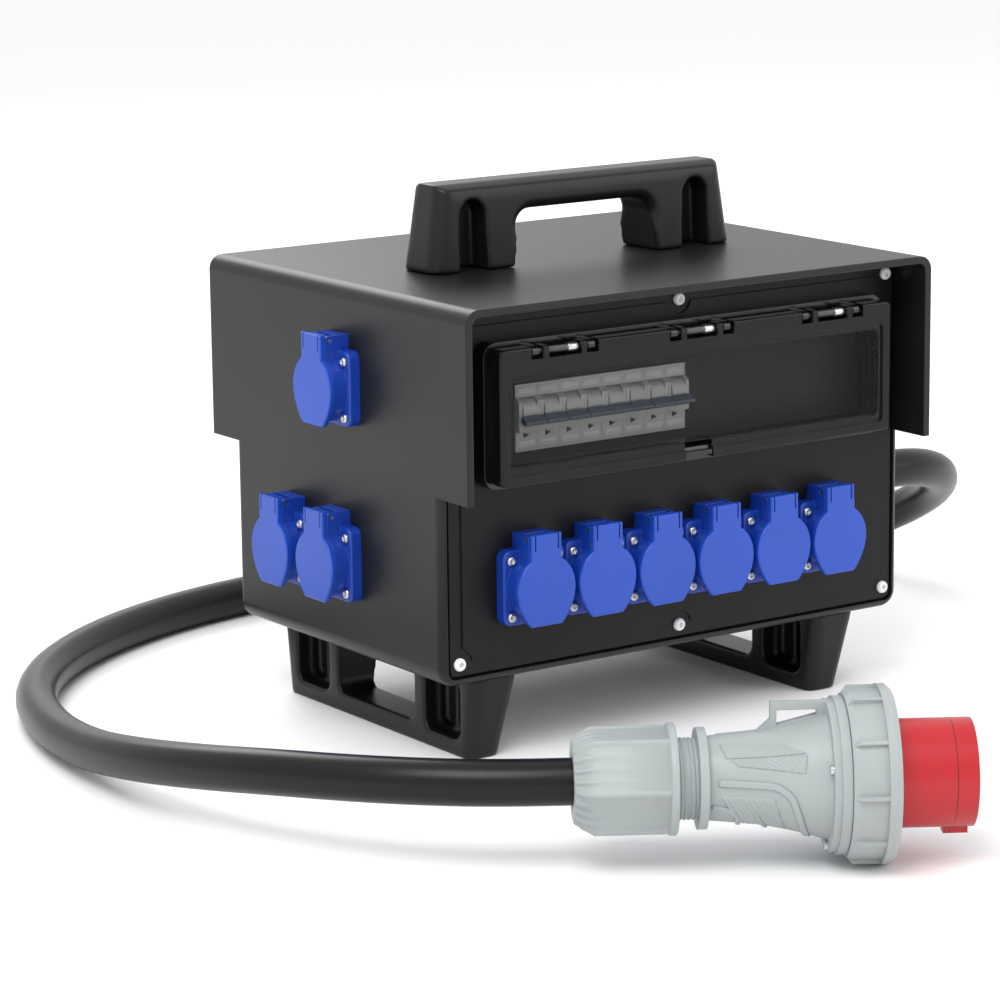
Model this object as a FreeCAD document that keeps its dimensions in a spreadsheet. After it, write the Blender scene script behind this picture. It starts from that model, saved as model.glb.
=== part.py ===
"""A portable power distribution box: a rubber housing with a hinged breaker window, nine sockets,
a carrying handle, two feet, and a five-core lead that ends in a five-pin plug.

Everything is first drawn in the housing's own frame: x to the right from the housing's middle,
y backwards from the face of the front panel, z up from the underside of the housing.
shift_right, shift_back and shift_up then carry each piece to the part's frame, whose origin lies
on the floor under the middle of the box."""
import FreeCAD, Part
import math
import os
import re
import Sketcher

doc = FreeCAD.newDocument("distribution_box")
sheet = doc.addObject("Spreadsheet::Sheet", "sizes")
sheet.Label = "sizes"

SIZES = {
    "shift_right": 11.35, "shift_back": -127, "shift_up": 56.5,
    # housing
    "housing_width": 390, "housing_depth": 256, "housing_height": 254.5, "wall": 5,
    "hood_front": 32, "hood_back": 30, "hood_bottom": 127.5,
    "roof_round": 10, "keel_round": 12, "cavity_round": 6,
    "ledge_front": 6.2, "ledge_thick": 4, "boss_length": 20,
    # front panel and its gasket and screws
    "panel_half": 188, "panel_low": 7, "panel_high": 247.5, "panel_back": 4.2, "panel_step": 1.2,
    "panel_inset": 9.5, "scallop": 10, "screw_across": 181, "screw_low": 15, "screw_high": 239.3,
    "gasket_half": 177.5, "gasket_low": 20, "gasket_high": 234.5,
    "post_across": 168, "post_radius": 5,
    # breaker window
    "cutout_half": 158, "cutout_low": 140, "cutout_high": 215,
    "frame_half": 168, "frame_low": 131, "frame_high": 228, "frame_out": 12,
    "frame_open_half": 157, "frame_open_low": 141, "frame_open_high": 214,
    "lid_half": 164.5, "lid_low": 134.8, "lid_high": 224.8, "lid_back": 12.3, "lid_front": 25.5,
    "hinge_out": 20.3, "hinge_up": 221, "hinge_pitch": 112.4, "hinge_pin": 2,
    "latch_left": -13.6, "latch_right": 9.3, "latch_out": 18.5, "latch_up": 140.2,
    # breakers and what holds them
    "module": 17.5, "breaker_width": 17.3, "breaker_left": -132.8,
    "nose_front": 3, "nose_low": 150.3, "nose_high": 195.3, "shoulder": 27, "breaker_back": 71,
    "breaker_low": 129.5, "breaker_high": 215.5, "toggle_back": 6, "toggle_up": 177.5,
    "rail_front": 65, "rail_deep": 7.5, "rail_sheet": 1, "rail_low": 155, "rail_high": 190,
    "rail_half": 174, "cover_back": 6.2,
    # sockets, each measured from the middle of its lid
    "socket_pitch": 50, "socket_first": -126.4, "socket_up": 62.2,
    "flange_half": 24.8, "flange_low": -25, "flange_high": 26, "flange_thick": 8.5,
    "socket_out": 18.7, "socket_radius": 23, "recess_radius": 19.5, "recess_floor": 1.7,
    "barrel_radius": 21, "barrel_long": 35, "mouth_radius": 21.5, "screw_grid": 19,
    "cheek_half": 12, "knuckle_half": 8.7, "block_high": 36, "pin_out": 15, "pin_up": 33,
    "socket_lid_back": 19, "socket_lid_front": 22.7,
    # handle and feet
    "handle_half": 128, "handle_top_half": 119.5, "handle_top": 314, "handle_front": 103,
    "handle_back": 146, "grip_half": 61, "grip_top_half": 57, "grip_under": 293,
    "foot_left_side": -165.5, "foot_pitch": 291.5, "foot_middle": 128, "foot_high": 56.5,
    "foot_wide": 38, "foot_narrow": 27, "foot_half": 121, "foot_half_low": 114, "foot_round": 9,
    # lead, gland and plug
    "lead_radius": 14.5, "gland_back": 128, "gland_up": 66, "gland_end": 232,
    "plug_x": -247.5, "plug_y": -216, "plug_z": -2, "plug_turn": -31.7,
    "plug_nut_end": 62, "ring_start": 163.3, "ring_end": 192, "ring_radius": 54.5,
    "spigot_end": 180, "spigot_radius": 38, "shroud_end": 241, "shroud_radius": 33,
}
for row, (name, size) in enumerate(SIZES.items(), start=1):
    sheet.set("A%d" % row, name)
    sheet.set("B%d" % row, str(size))
    sheet.setAlias("B%d" % row, name)
doc.recompute()

kept = []


def cells(text):
    """The same expression with each size's plain name turned into its cell of the sheet."""
    def cell(found):
        return "<<sizes>>." + found.group(0) if found.group(0) in SIZES else found.group(0)
    return re.sub(r"[a-z][a-z_]*", cell, str(text))


def number(text):
    """What an expression comes to now."""
    return float(sheet.evalExpression(cells(text)))


def bind(thing, place, text):
    """One property follows an expression in the sheet's sizes."""
    thing.setExpression(place, cells(text))


def new_body(label):
    body = doc.addObject("PartDesign::Body", label)
    body.Label = label
    kept.append(body)
    return body


def settle(thing, right=0, back=0, up=0, axis=(0, 0, 1), turn=0):
    """A finished piece is turned in its own frame and moved into the part's frame."""
    thing.Placement = FreeCAD.Placement(FreeCAD.Vector(), FreeCAD.Rotation(FreeCAD.Vector(*axis), turn))
    bind(thing, "Placement.Base.x", "shift_right+(%s)" % right)
    bind(thing, "Placement.Base.y", "shift_back+(%s)" % back)
    bind(thing, "Placement.Base.z", "shift_up+(%s)" % up)
    return thing


# sketches: "XZ_Plane" looks along y, so its levels count forwards, out of the front panel

def origin_item(body, role):
    return [item for item in body.Origin.OriginFeatures if item.Role == role][0]


def hold(sketch, kind, first, first_end, second, second_end, text):
    """A dimension of the sketch that follows an expression."""
    size = number(text)
    if second is None:
        index = sketch.addConstraint(Sketcher.Constraint(kind, first, size))
    else:
        index = sketch.addConstraint(Sketcher.Constraint(kind, first, first_end, second, second_end, size))
    if abs(size) > 1e-9:
        bind(sketch, "Constraints[%d]" % index, text)


def draw_loop(sketch, *stops):
    """A closed outline. A stop is a corner (across, up), or an arc's middle and its end."""
    before = FreeCAD.Vector(number(stops[-1][-2]), number(stops[-1][-1]), 0)
    edges = []
    for stop in stops:
        here = FreeCAD.Vector(number(stop[-2]), number(stop[-1]), 0)
        if len(stop) == 4:
            middle = FreeCAD.Vector(number(stop[0]), number(stop[1]), 0)
            index = sketch.addGeometry(Part.Arc(before, middle, here), False)
        else:
            index = sketch.addGeometry(Part.LineSegment(before, here), False)
        runs_forward = sketch.getPoint(index, 1).distanceToPoint(before) < 1e-4
        edges.append((index, 1 if runs_forward else 2, 2 if runs_forward else 1))
        before = here
    for turn, (index, first, last) in enumerate(edges):
        following = edges[(turn + 1) % len(edges)]
        sketch.addConstraint(Sketcher.Constraint("Coincident", index, last, following[0], following[1]))
        hold(sketch, "DistanceX", -1, 1, index, last, stops[turn][-2])
        hold(sketch, "DistanceY", -1, 1, index, last, stops[turn][-1])


def draw_box(sketch, left, right, low, high, round_corner=0):
    """A rectangle, with round corners if a radius is given."""
    if not round_corner:
        draw_loop(sketch, (left, low), (right, low), (right, high), (left, high))
        return
    full = "(%s)" % round_corner
    part = "%s*(1-sqrt(0.5))" % full
    right_in, left_in = "%s-%s" % (right, full), "%s+%s" % (left, full)
    high_in, low_in = "%s-%s" % (high, full), "%s+%s" % (low, full)
    draw_loop(sketch, (right_in, low),
              ("%s-%s" % (right, part), "%s+%s" % (low, part), right, low_in), (right, high_in),
              ("%s-%s" % (right, part), "%s-%s" % (high, part), right_in, high), (left_in, high),
              ("%s+%s" % (left, part), "%s-%s" % (high, part), left, high_in), (left, low_in),
              ("%s+%s" % (left, part), "%s+%s" % (low, part), left_in, low))


def draw_circle(sketch, across, up, radius):
    middle = FreeCAD.Vector(number(across), number(up), 0)
    index = sketch.addGeometry(Part.Circle(middle, FreeCAD.Vector(0, 0, 1), number(radius)), False)
    hold(sketch, "DistanceX", -1, 1, index, 3, across)
    hold(sketch, "DistanceY", -1, 1, index, 3, up)
    hold(sketch, "Radius", index, None, None, None, radius)


DRAWERS = {"loop": draw_loop, "box": draw_box, "circle": draw_circle}


def new_sketch(body, plane, level, shapes):
    sketch = body.newObject("Sketcher::SketchObject", "sketch")
    sketch.AttachmentSupport = [(origin_item(body, plane), "")]
    sketch.MapMode = "FlatFace"
    bind(sketch, "AttachmentOffset.Base.z", level)
    for shape in shapes:
        DRAWERS[shape[0]](sketch, *shape[1:])
    return sketch


def pad(body, plane, low_level, high_level, *shapes):
    """Material between two levels of a plane."""
    feature = body.newObject("PartDesign::Pad", "pad")
    feature.Profile = new_sketch(body, plane, low_level, shapes)
    bind(feature, "Length", "(%s)-(%s)" % (high_level, low_level))
    body.Tip = feature
    return feature


def pocket(body, plane, low_level, high_level, *shapes):
    """A hollow between two levels of a plane. The volume must fall, or it pointed away."""
    doc.recompute()
    before = body.Shape.Volume
    feature = body.newObject("PartDesign::Pocket", "pocket")
    feature.Profile = new_sketch(body, plane, high_level, shapes)
    bind(feature, "Length", "(%s)-(%s)" % (high_level, low_level))
    body.Tip = feature
    doc.recompute()
    if body.Shape.Volume > before - 1e-3:
        raise RuntimeError("a pocket of %s cuts nothing" % body.Label)
    return feature


def spin(body, *stops):
    """A solid of revolution about the body's x axis: stops are (along, radius)."""
    sketch = new_sketch(body, "XZ_Plane", "0", [("loop",) + stops])
    feature = body.newObject("PartDesign::Revolution", "revolution")
    feature.Profile = sketch
    feature.ReferenceAxis = (sketch, ["H_Axis"])
    feature.Angle = 360
    body.Tip = feature
    return feature


def around(body, feature, count):
    """A feature repeated round the body's x axis."""
    pattern = body.newObject("PartDesign::PolarPattern", "ring")
    pattern.Originals = [feature]
    pattern.Axis = (origin_item(body, "X_Axis"), [""])
    pattern.Angle = 360
    pattern.Occurrences = count
    body.Tip = pattern
    return pattern


def soften(body, kind, size, wanted):
    """A Fillet or Chamfer on every edge that the test picks."""
    doc.recompute()
    names = ["Edge%d" % (place + 1) for place, edge in enumerate(body.Shape.Edges) if wanted(edge)]
    if not names:
        raise RuntimeError("no edge to soften on %s" % body.Label)
    before = body.Tip
    feature = body.newObject("PartDesign::" + kind, kind.lower())
    feature.Base = (before, names)
    bind(feature, "Radius" if kind == "Fillet" else "Size", size)
    body.Tip = feature
    return feature


def edge_runs(edge, axis):
    """True for a straight edge along "x", "y" or "z"."""
    if not isinstance(edge.Curve, Part.Line):
        return False
    along = edge.tangentAt(edge.FirstParameter)
    return abs(getattr(along, axis)) > 0.999


def new_screw(head_radius, head_high, shank_radius, shank_long, at, axis, turn):
    """A headed screw whose head stands on its own z = 0 plane and whose shank points down."""
    head = doc.addObject("Part::Cylinder", "head")
    bind(head, "Radius", head_radius)
    bind(head, "Height", head_high)
    shank = doc.addObject("Part::Cylinder", "shank")
    bind(shank, "Radius", shank_radius)
    bind(shank, "Height", shank_long)
    bind(shank, "Placement.Base.z", "-(%s)" % shank_long)
    screw = doc.addObject("Part::MultiFuse", "screw")
    screw.Shapes = [head, shank]
    screw.Placement = FreeCAD.Placement(FreeCAD.Vector(), FreeCAD.Rotation(FreeCAD.Vector(*axis), turn))
    for letter, text in zip("xyz", at):
        bind(screw, "Placement.Base." + letter, text)
    return screw


def new_rod(radius, length, at):
    """A plain rod along x that starts at a point."""
    rod = doc.addObject("Part::Cylinder", "rod")
    bind(rod, "Radius", radius)
    bind(rod, "Height", length)
    rod.Placement = FreeCAD.Placement(FreeCAD.Vector(), FreeCAD.Rotation(FreeCAD.Vector(0, 1, 0), 90))
    for letter, text in zip("xyz", at):
        bind(rod, "Placement.Base." + letter, text)
    return rod


def new_group(label, members):
    group = doc.addObject("Part::Compound", label)
    group.Label = label
    group.Links = members
    kept.append(group)
    return group


# where the sockets stand: name, across, back, up, and the turn from the front panel's face
SOCKETS = []
for place in range(6):
    SOCKETS.append(("front_%d" % (place + 1), "socket_first+%d*socket_pitch" % place, "0", "socket_up", 0))
side_places = [("118", "186"), ("120", "66"), ("177", "66")]
for place, (back, up) in enumerate(side_places):
    SOCKETS.append(("side_%d" % (place + 1), "-housing_width/2", back, up, -90))
CORNER_SIGNS = [(-1, -1), (1, -1), (-1, 1), (1, 1)]

# housing: one moulding, open at the front, with a hood that overhangs the front and the back
shell = new_body("housing_shell")
pad(shell, "YZ_Plane", "-housing_width/2", "housing_width/2",
    ("loop", ("0", "0"), ("housing_depth", "0"), ("housing_depth", "hood_bottom"),
     ("housing_depth+hood_back", "hood_bottom"), ("housing_depth+hood_back", "housing_height"),
     ("-hood_front", "housing_height"), ("-hood_front", "hood_bottom"), ("0", "hood_bottom")))
half_width = number("housing_width/2")


def is_long_corner(edge, height):
    """An edge along y at the side of the housing and at the given height."""
    middle = edge.CenterOfMass
    at_side = abs(abs(middle.x) - half_width) < 0.1
    return edge_runs(edge, "y") and at_side and abs(middle.z - height) < 0.1


soften(shell, "Fillet", "roof_round", lambda edge: is_long_corner(edge, number("housing_height")))
soften(shell, "Fillet", "keel_round", lambda edge: is_long_corner(edge, 0))
soften(shell, "Fillet", "6", lambda edge: edge_runs(edge, "x") and edge.CenterOfMass.z < 1)
inner = ("box", "-housing_width/2+wall", "housing_width/2-wall",
         "wall", "housing_height-wall", "cavity_round")
pocket(shell, "XZ_Plane", "-(housing_depth-wall)", "hood_front+1", inner)
pocket(shell, "XZ_Plane", "-(housing_depth+hood_back+1)", "-housing_depth",
       ("box", "-housing_width/2+wall", "housing_width/2-wall", "hood_bottom-1", "housing_height-wall"))
pad(shell, "XZ_Plane", "-(ledge_front+ledge_thick)", "-ledge_front", inner,
    ("box", "-gasket_half", "gasket_half", "gasket_low", "gasket_high"))
boss_boxes = []
BOSS_SPANS = [("-housing_width/2+wall", "-173"), ("-8", "8"), ("173", "housing_width/2-wall")]
for boss_left, boss_right in BOSS_SPANS:
    boss_boxes.append(("box", boss_left, boss_right, "wall", "23"))
    boss_boxes.append(("box", boss_left, boss_right, "231.5", "housing_height-wall"))
pad(shell, "XZ_Plane", "-(ledge_front+ledge_thick+boss_length)", "-(ledge_front+ledge_thick)", *boss_boxes)
panel_screw_places = []
for across in ("-screw_across", "0", "screw_across"):
    panel_screw_places.append((across, "screw_low"))
    panel_screw_places.append((across, "screw_high"))
pocket(shell, "XZ_Plane", "-(ledge_front+ledge_thick+boss_length)", "-ledge_front",
       *[("circle", across, up, "2.1") for across, up in panel_screw_places])
side_holes = []
for back, up in side_places:
    side_holes.append(("circle", back, up, "mouth_radius"))
    for sign_across, sign_up in CORNER_SIGNS:
        side_holes.append(("circle", "%s+%d*screw_grid" % (back, sign_across),
                           "%s+%d*screw_grid" % (up, sign_up), "1.8"))
pocket(shell, "YZ_Plane", "-housing_width/2-1", "-housing_width/2+wall", *side_holes)
pocket(shell, "YZ_Plane", "housing_width/2-wall", "housing_width/2+1",
       ("circle", "gland_back", "gland_up", "16.2"))
HANDLE_SCREWS = [("-72", "114"), ("-72", "135"), ("72", "114"), ("72", "135")]
FOOT_SCREWS = []
for side in ("foot_left_side", "foot_left_side+foot_pitch"):
    FOOT_SCREWS.append((side + "+29", "46"))
    FOOT_SCREWS.append((side + "+29", "210"))
pocket(shell, "XY_Plane", "housing_height-wall-1", "housing_height+1",
       *[("circle", across, back, "2.7") for across, back in HANDLE_SCREWS])
pocket(shell, "XY_Plane", "-1", "wall+1", *[("circle", across, back, "2.7") for across, back in FOOT_SCREWS])
settle(shell)

# front panel: a plate in the housing's mouth, its middle raised and scalloped round six screws
panel = new_body("front_panel")
pad(panel, "XZ_Plane", "-panel_back", "-panel_step",
    ("box", "-panel_half", "panel_half", "panel_low", "panel_high", "5"))
field_side = "(panel_half-panel_inset)"
field_low, field_high = "(panel_low+panel_inset)", "(panel_high-panel_inset)"
bite_side = "sqrt(scallop^2-(screw_across-%s)^2)" % field_side
bite_low = "sqrt(scallop^2-(%s-screw_low)^2)" % field_low
bite_high = "sqrt(scallop^2-(screw_high-%s)^2)" % field_high
diagonal = "scallop*sqrt(0.5)"
pad(panel, "XZ_Plane", "-panel_step", "0",
    ("loop", ("-" + bite_low, field_low), ("0", "screw_low+scallop", bite_low, field_low),
     ("screw_across-" + bite_low, field_low),
     ("screw_across-" + diagonal, "screw_low+" + diagonal, field_side, "screw_low+" + bite_side),
     (field_side, "screw_high-" + bite_side),
     ("screw_across-" + diagonal, "screw_high-" + diagonal, "screw_across-" + bite_high, field_high),
     (bite_high, field_high), ("0", "screw_high-scallop", "-" + bite_high, field_high),
     ("-screw_across+" + bite_high, field_high),
     ("-screw_across+" + diagonal, "screw_high-" + diagonal, "-" + field_side, "screw_high-" + bite_side),
     ("-" + field_side, "screw_low+" + bite_side),
     ("-screw_across+" + diagonal, "screw_low+" + diagonal, "-screw_across+" + bite_low, field_low)))
pocket(panel, "XZ_Plane", "-panel_back-1", "1",
       ("box", "-cutout_half", "cutout_half", "cutout_low", "cutout_high", "4"),
       *[("circle", across, up, "2.4") for across, up in panel_screw_places])
panel_holes = []
for name, across, back, up, turn in SOCKETS[:6]:
    panel_holes.append(("circle", across, up, "mouth_radius"))
    for sign_across, sign_up in CORNER_SIGNS:
        panel_holes.append(("circle", "%s+%d*screw_grid" % (across, sign_across),
                            "%s+%d*screw_grid" % (up, sign_up), "1.8"))
pocket(panel, "XZ_Plane", "-panel_back-1", "1", *panel_holes)
pad(panel, "XZ_Plane", "-(rail_front+rail_deep-2*rail_sheet)", "-panel_back",
    ("circle", "-post_across", "(rail_low+rail_high)/2", "post_radius"),
    ("circle", "post_across", "(rail_low+rail_high)/2", "post_radius"))
settle(panel)

gasket = new_body("panel_gasket")
pad(gasket, "XZ_Plane", "-ledge_front", "-panel_back",
    ("box", "-panel_half", "panel_half", "panel_low", "panel_high", "5"),
    ("box", "-gasket_half", "gasket_half", "gasket_low", "gasket_high"),
    *[("circle", across, up, "2.4") for across, up in panel_screw_places])
settle(gasket)

screws = []
for across, up in panel_screw_places:
    screws.append(new_screw("4.4", "3.2", "2", "24", (across, "panel_step", up), (1, 0, 0), 90))
settle(new_group("panel_screws", screws))

# breaker window: a frame on the panel, a hinged smoked lid, three hinge pins and a latch
WINDOW_HINGES = ["-hinge_pitch", "0", "hinge_pitch"]
frame = new_body("window_frame")
pad(frame, "XZ_Plane", "0", "frame_out",
    ("box", "-frame_half", "frame_half", "frame_low", "frame_high", "10"),
    ("box", "-frame_open_half", "frame_open_half", "frame_open_low", "frame_open_high", "4"))
for hinge in WINDOW_HINGES:
    for side in (-1, 1):
        middle = "(%s+%d*22.25)" % (hinge, side)
        pad(frame, "YZ_Plane", middle + "-2.75", middle + "+2.75",
            ("circle", "-hinge_out", "hinge_up", "3.7"))
        pad(frame, "YZ_Plane", middle + "-2.75", middle + "+2.75",
            ("loop", ("-frame_out+1", "hinge_up-3.7"), ("-hinge_out", "hinge_up-3.7"),
             ("-hinge_out", "hinge_up+3.7"), ("-frame_out+1", "hinge_up+3.7")))
        pocket(frame, "YZ_Plane", middle + "-3", middle + "+3",
               ("circle", "-hinge_out", "hinge_up", "hinge_pin+0.02"))
settle(frame)

lid = new_body("window_lid")
pad(lid, "XZ_Plane", "lid_back", "lid_front", ("box", "-lid_half", "lid_half", "lid_low", "lid_high", "4"))
soften(lid, "Chamfer", "3.2",
       lambda edge: edge_runs(edge, "x") and edge.CenterOfMass.z > number("lid_high-0.1")
       and edge.CenterOfMass.y > -number("lid_back+0.1"))
soften(lid, "Fillet", "1.5", lambda edge: abs(edge.CenterOfMass.y + number("lid_front")) < 0.1)
pocket(lid, "XZ_Plane", "lid_front-1.6", "lid_front+1", ("box", "-157.5", "157.5", "141.3", "210", "4"))
pocket(lid, "XZ_Plane", "lid_front-2.8", "lid_front-1", ("box", "-154.5", "154.5", "146", "204", "5"))
pocket(lid, "XZ_Plane", "lid_back-1", "lid_front-5", ("box", "-154.5", "154.5", "147.5", "206", "5"))
for hinge in WINDOW_HINGES:
    pocket(lid, "XZ_Plane", "lid_back-1", "lid_front+1",
           ("box", hinge + "-27", hinge + "-17.5", "216.7", "lid_high+2"),
           ("box", hinge + "-13", hinge + "+13", "216.7", "lid_high+2"),
           ("box", hinge + "+17.5", hinge + "+27", "216.7", "lid_high+2"))
    pocket(lid, "YZ_Plane", hinge + "-20", hinge + "+20",
           ("circle", "-hinge_out", "hinge_up", "hinge_pin+0.06"))
pocket(lid, "XZ_Plane", "lid_back+1.5", "lid_front+1",
       ("box", "latch_left", "latch_right", "lid_low-1", "146.4"))
settle(lid)

pins = []
for hinge in WINDOW_HINGES:
    pins.append(new_rod("hinge_pin", "50", (hinge + "-25", "-hinge_out", "hinge_up")))
settle(new_group("window_hinge_pins", pins))

# latch: a rocker across the lid's lower edge, its thumb tab in front
latch = new_body("window_latch")
pad(latch, "YZ_Plane", "latch_left+0.4", "latch_right-0.4", ("circle", "0", "0", "3.4"))
pad(latch, "YZ_Plane", "latch_left+0.4", "latch_right-0.4",
    ("loop", ("0", "-3.4"), ("0", "0.4"), ("-6.4", "-0.4"), ("-6.4", "-3.4")))
settle(latch, "0", "-latch_out", "latch_up")

# behind the window: a top-hat rail on the panel's posts, eight breakers, terminals and a cover
rail = new_body("din_rail")
pad(rail, "YZ_Plane", "-rail_half", "rail_half",
    ("loop", ("rail_front", "rail_low"), ("rail_front+rail_sheet", "rail_low"),
     ("rail_front+rail_sheet", "rail_low+4"), ("rail_front+rail_deep-rail_sheet", "rail_low+4"),
     ("rail_front+rail_deep-rail_sheet", "rail_high-4"), ("rail_front+rail_sheet", "rail_high-4"),
     ("rail_front+rail_sheet", "rail_high"), ("rail_front", "rail_high"),
     ("rail_front", "rail_high-5"), ("rail_front+rail_deep-2*rail_sheet", "rail_high-5"),
     ("rail_front+rail_deep-2*rail_sheet", "rail_low+5"), ("rail_front", "rail_low+5")))
settle(rail)

cover = new_body("breaker_cover")
pad(cover, "XZ_Plane", "-cover_back", "-panel_back",
    ("box", "-162", "162", "136", "219", "3"),
    ("box", "breaker_left-0.5", "breaker_left+8*module+0.3", "nose_low-0.5", "nose_high+0.5"))
settle(cover)

terminals = new_body("terminal_block")
pad(terminals, "YZ_Plane", "40", "110", ("loop", ("38", "150"), ("rail_front", "150"),
                                         ("rail_front", "195"), ("38", "195")))
wire_holes = []
for place in range(5):
    wire_holes.append(("circle", "%d" % (47 + 14 * place), "159", "3.5"))
    wire_holes.append(("circle", "%d" % (47 + 14 * place), "186", "3.5"))
pocket(terminals, "XZ_Plane", "-52", "-37", *wire_holes)
settle(terminals)

for place in range(8):
    left = "(breaker_left+%d*module+(module-breaker_width)/2)" % place
    middle = "(breaker_left+%g*module)" % (place + 0.5)
    breaker = new_body("breaker_%d" % (place + 1))
    pad(breaker, "YZ_Plane", left, left + "+breaker_width",
        ("loop", ("breaker_back", "breaker_low"), ("shoulder", "breaker_low"), ("shoulder", "nose_low"),
         ("nose_front", "nose_low"), ("nose_front", "164"), ("nose_front-4.4", "164"),
         ("nose_front-4.4", "184"), ("nose_front", "187"), ("nose_front", "nose_high"),
         ("shoulder", "nose_high"), ("shoulder", "breaker_high"), ("breaker_back", "breaker_high"),
         ("breaker_back", "rail_high+0.5"), ("rail_front", "rail_high+0.5"),
         ("rail_front", "rail_low-0.5"), ("breaker_back", "rail_low-0.5")))
    pocket(breaker, "XZ_Plane", "-toggle_back-9.5", "2",
           ("box", middle + "-6.1", middle + "+6.1", "toggle_up-9", "toggle_up+9"))
    settle(breaker)
    # toggle: a drum in the breaker's slot with a lever that is as wide as the module, drawn level
    toggle = new_body("breaker_toggle_%d" % (place + 1))
    pad(toggle, "YZ_Plane", "-5.7", "5.7", ("circle", "0", "0", "8.2"))
    pad(toggle, "YZ_Plane", "-5.7", "5.7", ("loop", ("-5", "-2"), ("-5", "2"), ("-11", "2"), ("-11", "-2")))
    pad(toggle, "YZ_Plane", "-8.4", "8.4", ("loop", ("-10.4", "-2.1"), ("-10.4", "2.1"),
                                            ("-16.4", "1.4"), ("-17", "0"), ("-16.4", "-1.4")))
    settle(toggle, middle, "toggle_back", "toggle_up", (1, 0, 0), 25)

# sockets: nine alike, each drawn about the middle of its lid and facing forwards
for name, across, back, up, turn in SOCKETS:
    socket = new_body("socket_" + name)
    pad(socket, "XZ_Plane", "0", "flange_thick",
        ("box", "-flange_half", "flange_half", "flange_low", "flange_high", "6"))
    soften(socket, "Fillet", "1.5", lambda edge: abs(edge.CenterOfMass.y + number("flange_thick")) < 0.1)
    pad(socket, "XZ_Plane", "0", "socket_out", ("circle", "0", "0", "socket_radius"))
    pad(socket, "XZ_Plane", "0", "socket_out",
        ("box", "-cheek_half", "cheek_half", "socket_radius-4", "block_high"))
    pad(socket, "XZ_Plane", "-barrel_long", "0", ("circle", "0", "0", "barrel_radius"))
    soften(socket, "Fillet", "2.8", lambda edge: edge_runs(edge, "x")
           and edge.CenterOfMass.z > number("block_high-0.1")
           and edge.CenterOfMass.y < -number("socket_out-0.1"))
    pocket(socket, "XZ_Plane", "knuckle_half", "socket_out+1",
           ("box", "-knuckle_half", "knuckle_half", "flange_high", "block_high+1"))
    pocket(socket, "XZ_Plane", "recess_floor", "socket_out+1", ("circle", "0", "0", "recess_radius"))
    socket_holes = [("circle", "-9.5", "0", "2.6"), ("circle", "9.5", "0", "2.6")]
    pocket(socket, "XZ_Plane", "-28", "recess_floor+1", *socket_holes)
    pocket(socket, "XZ_Plane", "-1", "flange_thick+1",
           *[("circle", "%d*screw_grid" % sign_across, "%d*screw_grid" % sign_up, "1.8")
             for sign_across, sign_up in CORNER_SIGNS])
    pocket(socket, "YZ_Plane", "-cheek_half-1", "cheek_half+1", ("circle", "-pin_out", "pin_up", "1.5"))
    settle(socket, across, back, up, turn=turn)

    flap = new_body("socket_lid_" + name)
    pad(flap, "XZ_Plane", "socket_lid_back", "socket_lid_front",
        ("loop", ("-cheek_half", "sqrt(23.3^2-cheek_half^2)"), ("-22", "7.67", "-23.2", "-2"),
         ("-21.9", "-8.5", "-19.3", "-14.5"), ("-16.2", "-19.9", "-12.2", "-24.5"), ("12.2", "-24.5"),
         ("16.2", "-19.9", "19.3", "-14.5"), ("21.9", "-8.5", "23.2", "-2"),
         ("22", "7.67", "cheek_half", "sqrt(23.3^2-cheek_half^2)"),
         ("cheek_half", "pin_up+4"), ("-cheek_half", "pin_up+4")))
    soften(flap, "Chamfer", "0.7", lambda edge: abs(edge.CenterOfMass.y + number("socket_lid_front")) < 0.05)
    pad(flap, "YZ_Plane", "-8.5", "8.5", ("circle", "-pin_out", "pin_up", "3.5"))
    pad(flap, "XZ_Plane", "pin_out", "socket_lid_back", ("box", "-8.5", "8.5", "pin_up-3.5", "pin_up+3.5"))
    pad(flap, "XZ_Plane", "socket_lid_back-1.6", "socket_lid_back", ("circle", "0", "0", "recess_radius-1.5"))
    pocket(flap, "YZ_Plane", "-9", "9", ("circle", "-pin_out", "pin_up", "1.5"))
    pocket(flap, "XZ_Plane", "socket_lid_back-1", "socket_lid_front+1",
           ("box", "-9.65", "-8.55", "26.5", "pin_up+5"), ("box", "8.55", "9.65", "26.5", "pin_up+5"))
    settle(flap, across, back, up, turn=turn)

screws = []
pins = []
for name, across, back, up, turn in SOCKETS:
    facing_side = turn != 0
    for sign_across, sign_up in CORNER_SIGNS:
        head_up = "%s+%d*screw_grid" % (up, sign_up)
        if facing_side:
            at = (across + "-flange_thick", "%s+%d*screw_grid" % (back, sign_across), head_up)
            screws.append(new_screw("3.3", "1.8", "1.6", "14", at, (0, 1, 0), -90))
        else:
            at = ("%s+%d*screw_grid" % (across, sign_across), "-flange_thick", head_up)
            screws.append(new_screw("3.3", "1.8", "1.6", "14", at, (1, 0, 0), 90))
    if facing_side:
        pin = new_rod("1.45", "23.6", ("-pin_out+(%s)" % across, back + "-11.8", up + "+pin_up"))
        pin.Placement.Rotation = FreeCAD.Rotation(FreeCAD.Vector(1, 0, 0), -90)
    else:
        pin = new_rod("1.45", "23.6", (across + "-11.8", "-pin_out", up + "+pin_up"))
    pins.append(pin)
settle(new_group("socket_screws", screws))
settle(new_group("socket_hinge_pins", pins))

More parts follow.
